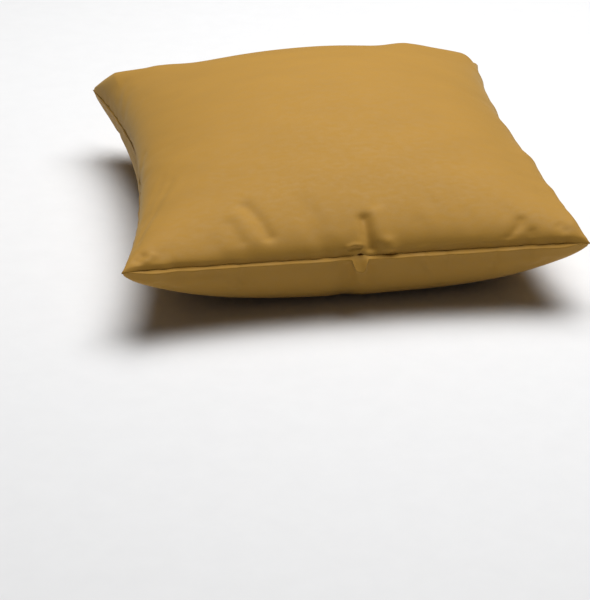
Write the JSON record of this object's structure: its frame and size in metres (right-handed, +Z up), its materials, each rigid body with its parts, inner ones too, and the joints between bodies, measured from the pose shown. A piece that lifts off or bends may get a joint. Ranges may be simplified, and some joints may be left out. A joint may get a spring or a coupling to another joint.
{
  "type": "throw pillow",
  "caption": "Square velvet throw pillow with knife-edge seams, a full crown, a zipped removable cover and a separate fibre-filled insert",
  "frame": {"origin": "middle of the pillow's plan, on the surface that it lies on", "axes": "+Z up through the pillow's thickness, +Y towards the zipped seam, +X to the right when that seam is at the back"},
  "size_m": [0.4302, 0.4302, 0.1465],
  "materials": {
    "velvet": "short-pile mustard velvet with a satin sheen",
    "cover_thread": "polyester sewing thread matched to the velvet",
    "label_cloth": "blank woven satin label",
    "insert_cloth": "plain white non-woven casing",
    "insert_thread": "white sewing thread",
    "fibre_fill": "white polyester fibre",
    "zip_tape": "woven herringbone zip tape in mustard",
    "zip_coil": "satin nylon coil",
    "zip_metal": "mustard enamel over die-cast metal"
  },
  "bodies": {
    "pillow": {"cover_front_panel": "velvet", "cover_back_panel": "velvet", "cover_seam_thread_front": "cover_thread", "cover_seam_thread_right": "cover_thread", "cover_seam_thread_left": "cover_thread", "care_label": "label_cloth", "insert_front_casing": "insert_cloth", "insert_back_casing": "insert_cloth", "insert_seam_thread": "insert_thread", "fibre_fill": "fibre_fill", "zip_tape_upper": "zip_tape", "zip_tape_lower": "zip_tape", "zip_coil_upper": "zip_coil", "zip_coil_lower": "zip_coil", "zip_top_stops": "zip_metal", "zip_bottom_stop": "zip_metal", "zip_stitching_upper": "cover_thread", "zip_stitching_lower": "cover_thread"},
    "zip_slider": {"zip_slider_body": "zip_metal"},
    "zip_pull": {"zip_pull_tab": "zip_metal"}
  },
  "joints": [
    {"name": "zip_slide", "type": "slide", "parent": "pillow", "child": "zip_slider", "axis": [-1, 0, 0], "range_m": [0, 0.248]},
    {"name": "pull_swing", "type": "hinge", "parent": "zip_slider", "child": "zip_pull", "pos_m": [0.126, 0.1987, 0.061], "axis": [0, 0, -1], "range_deg": [0, 180]}
  ]
}
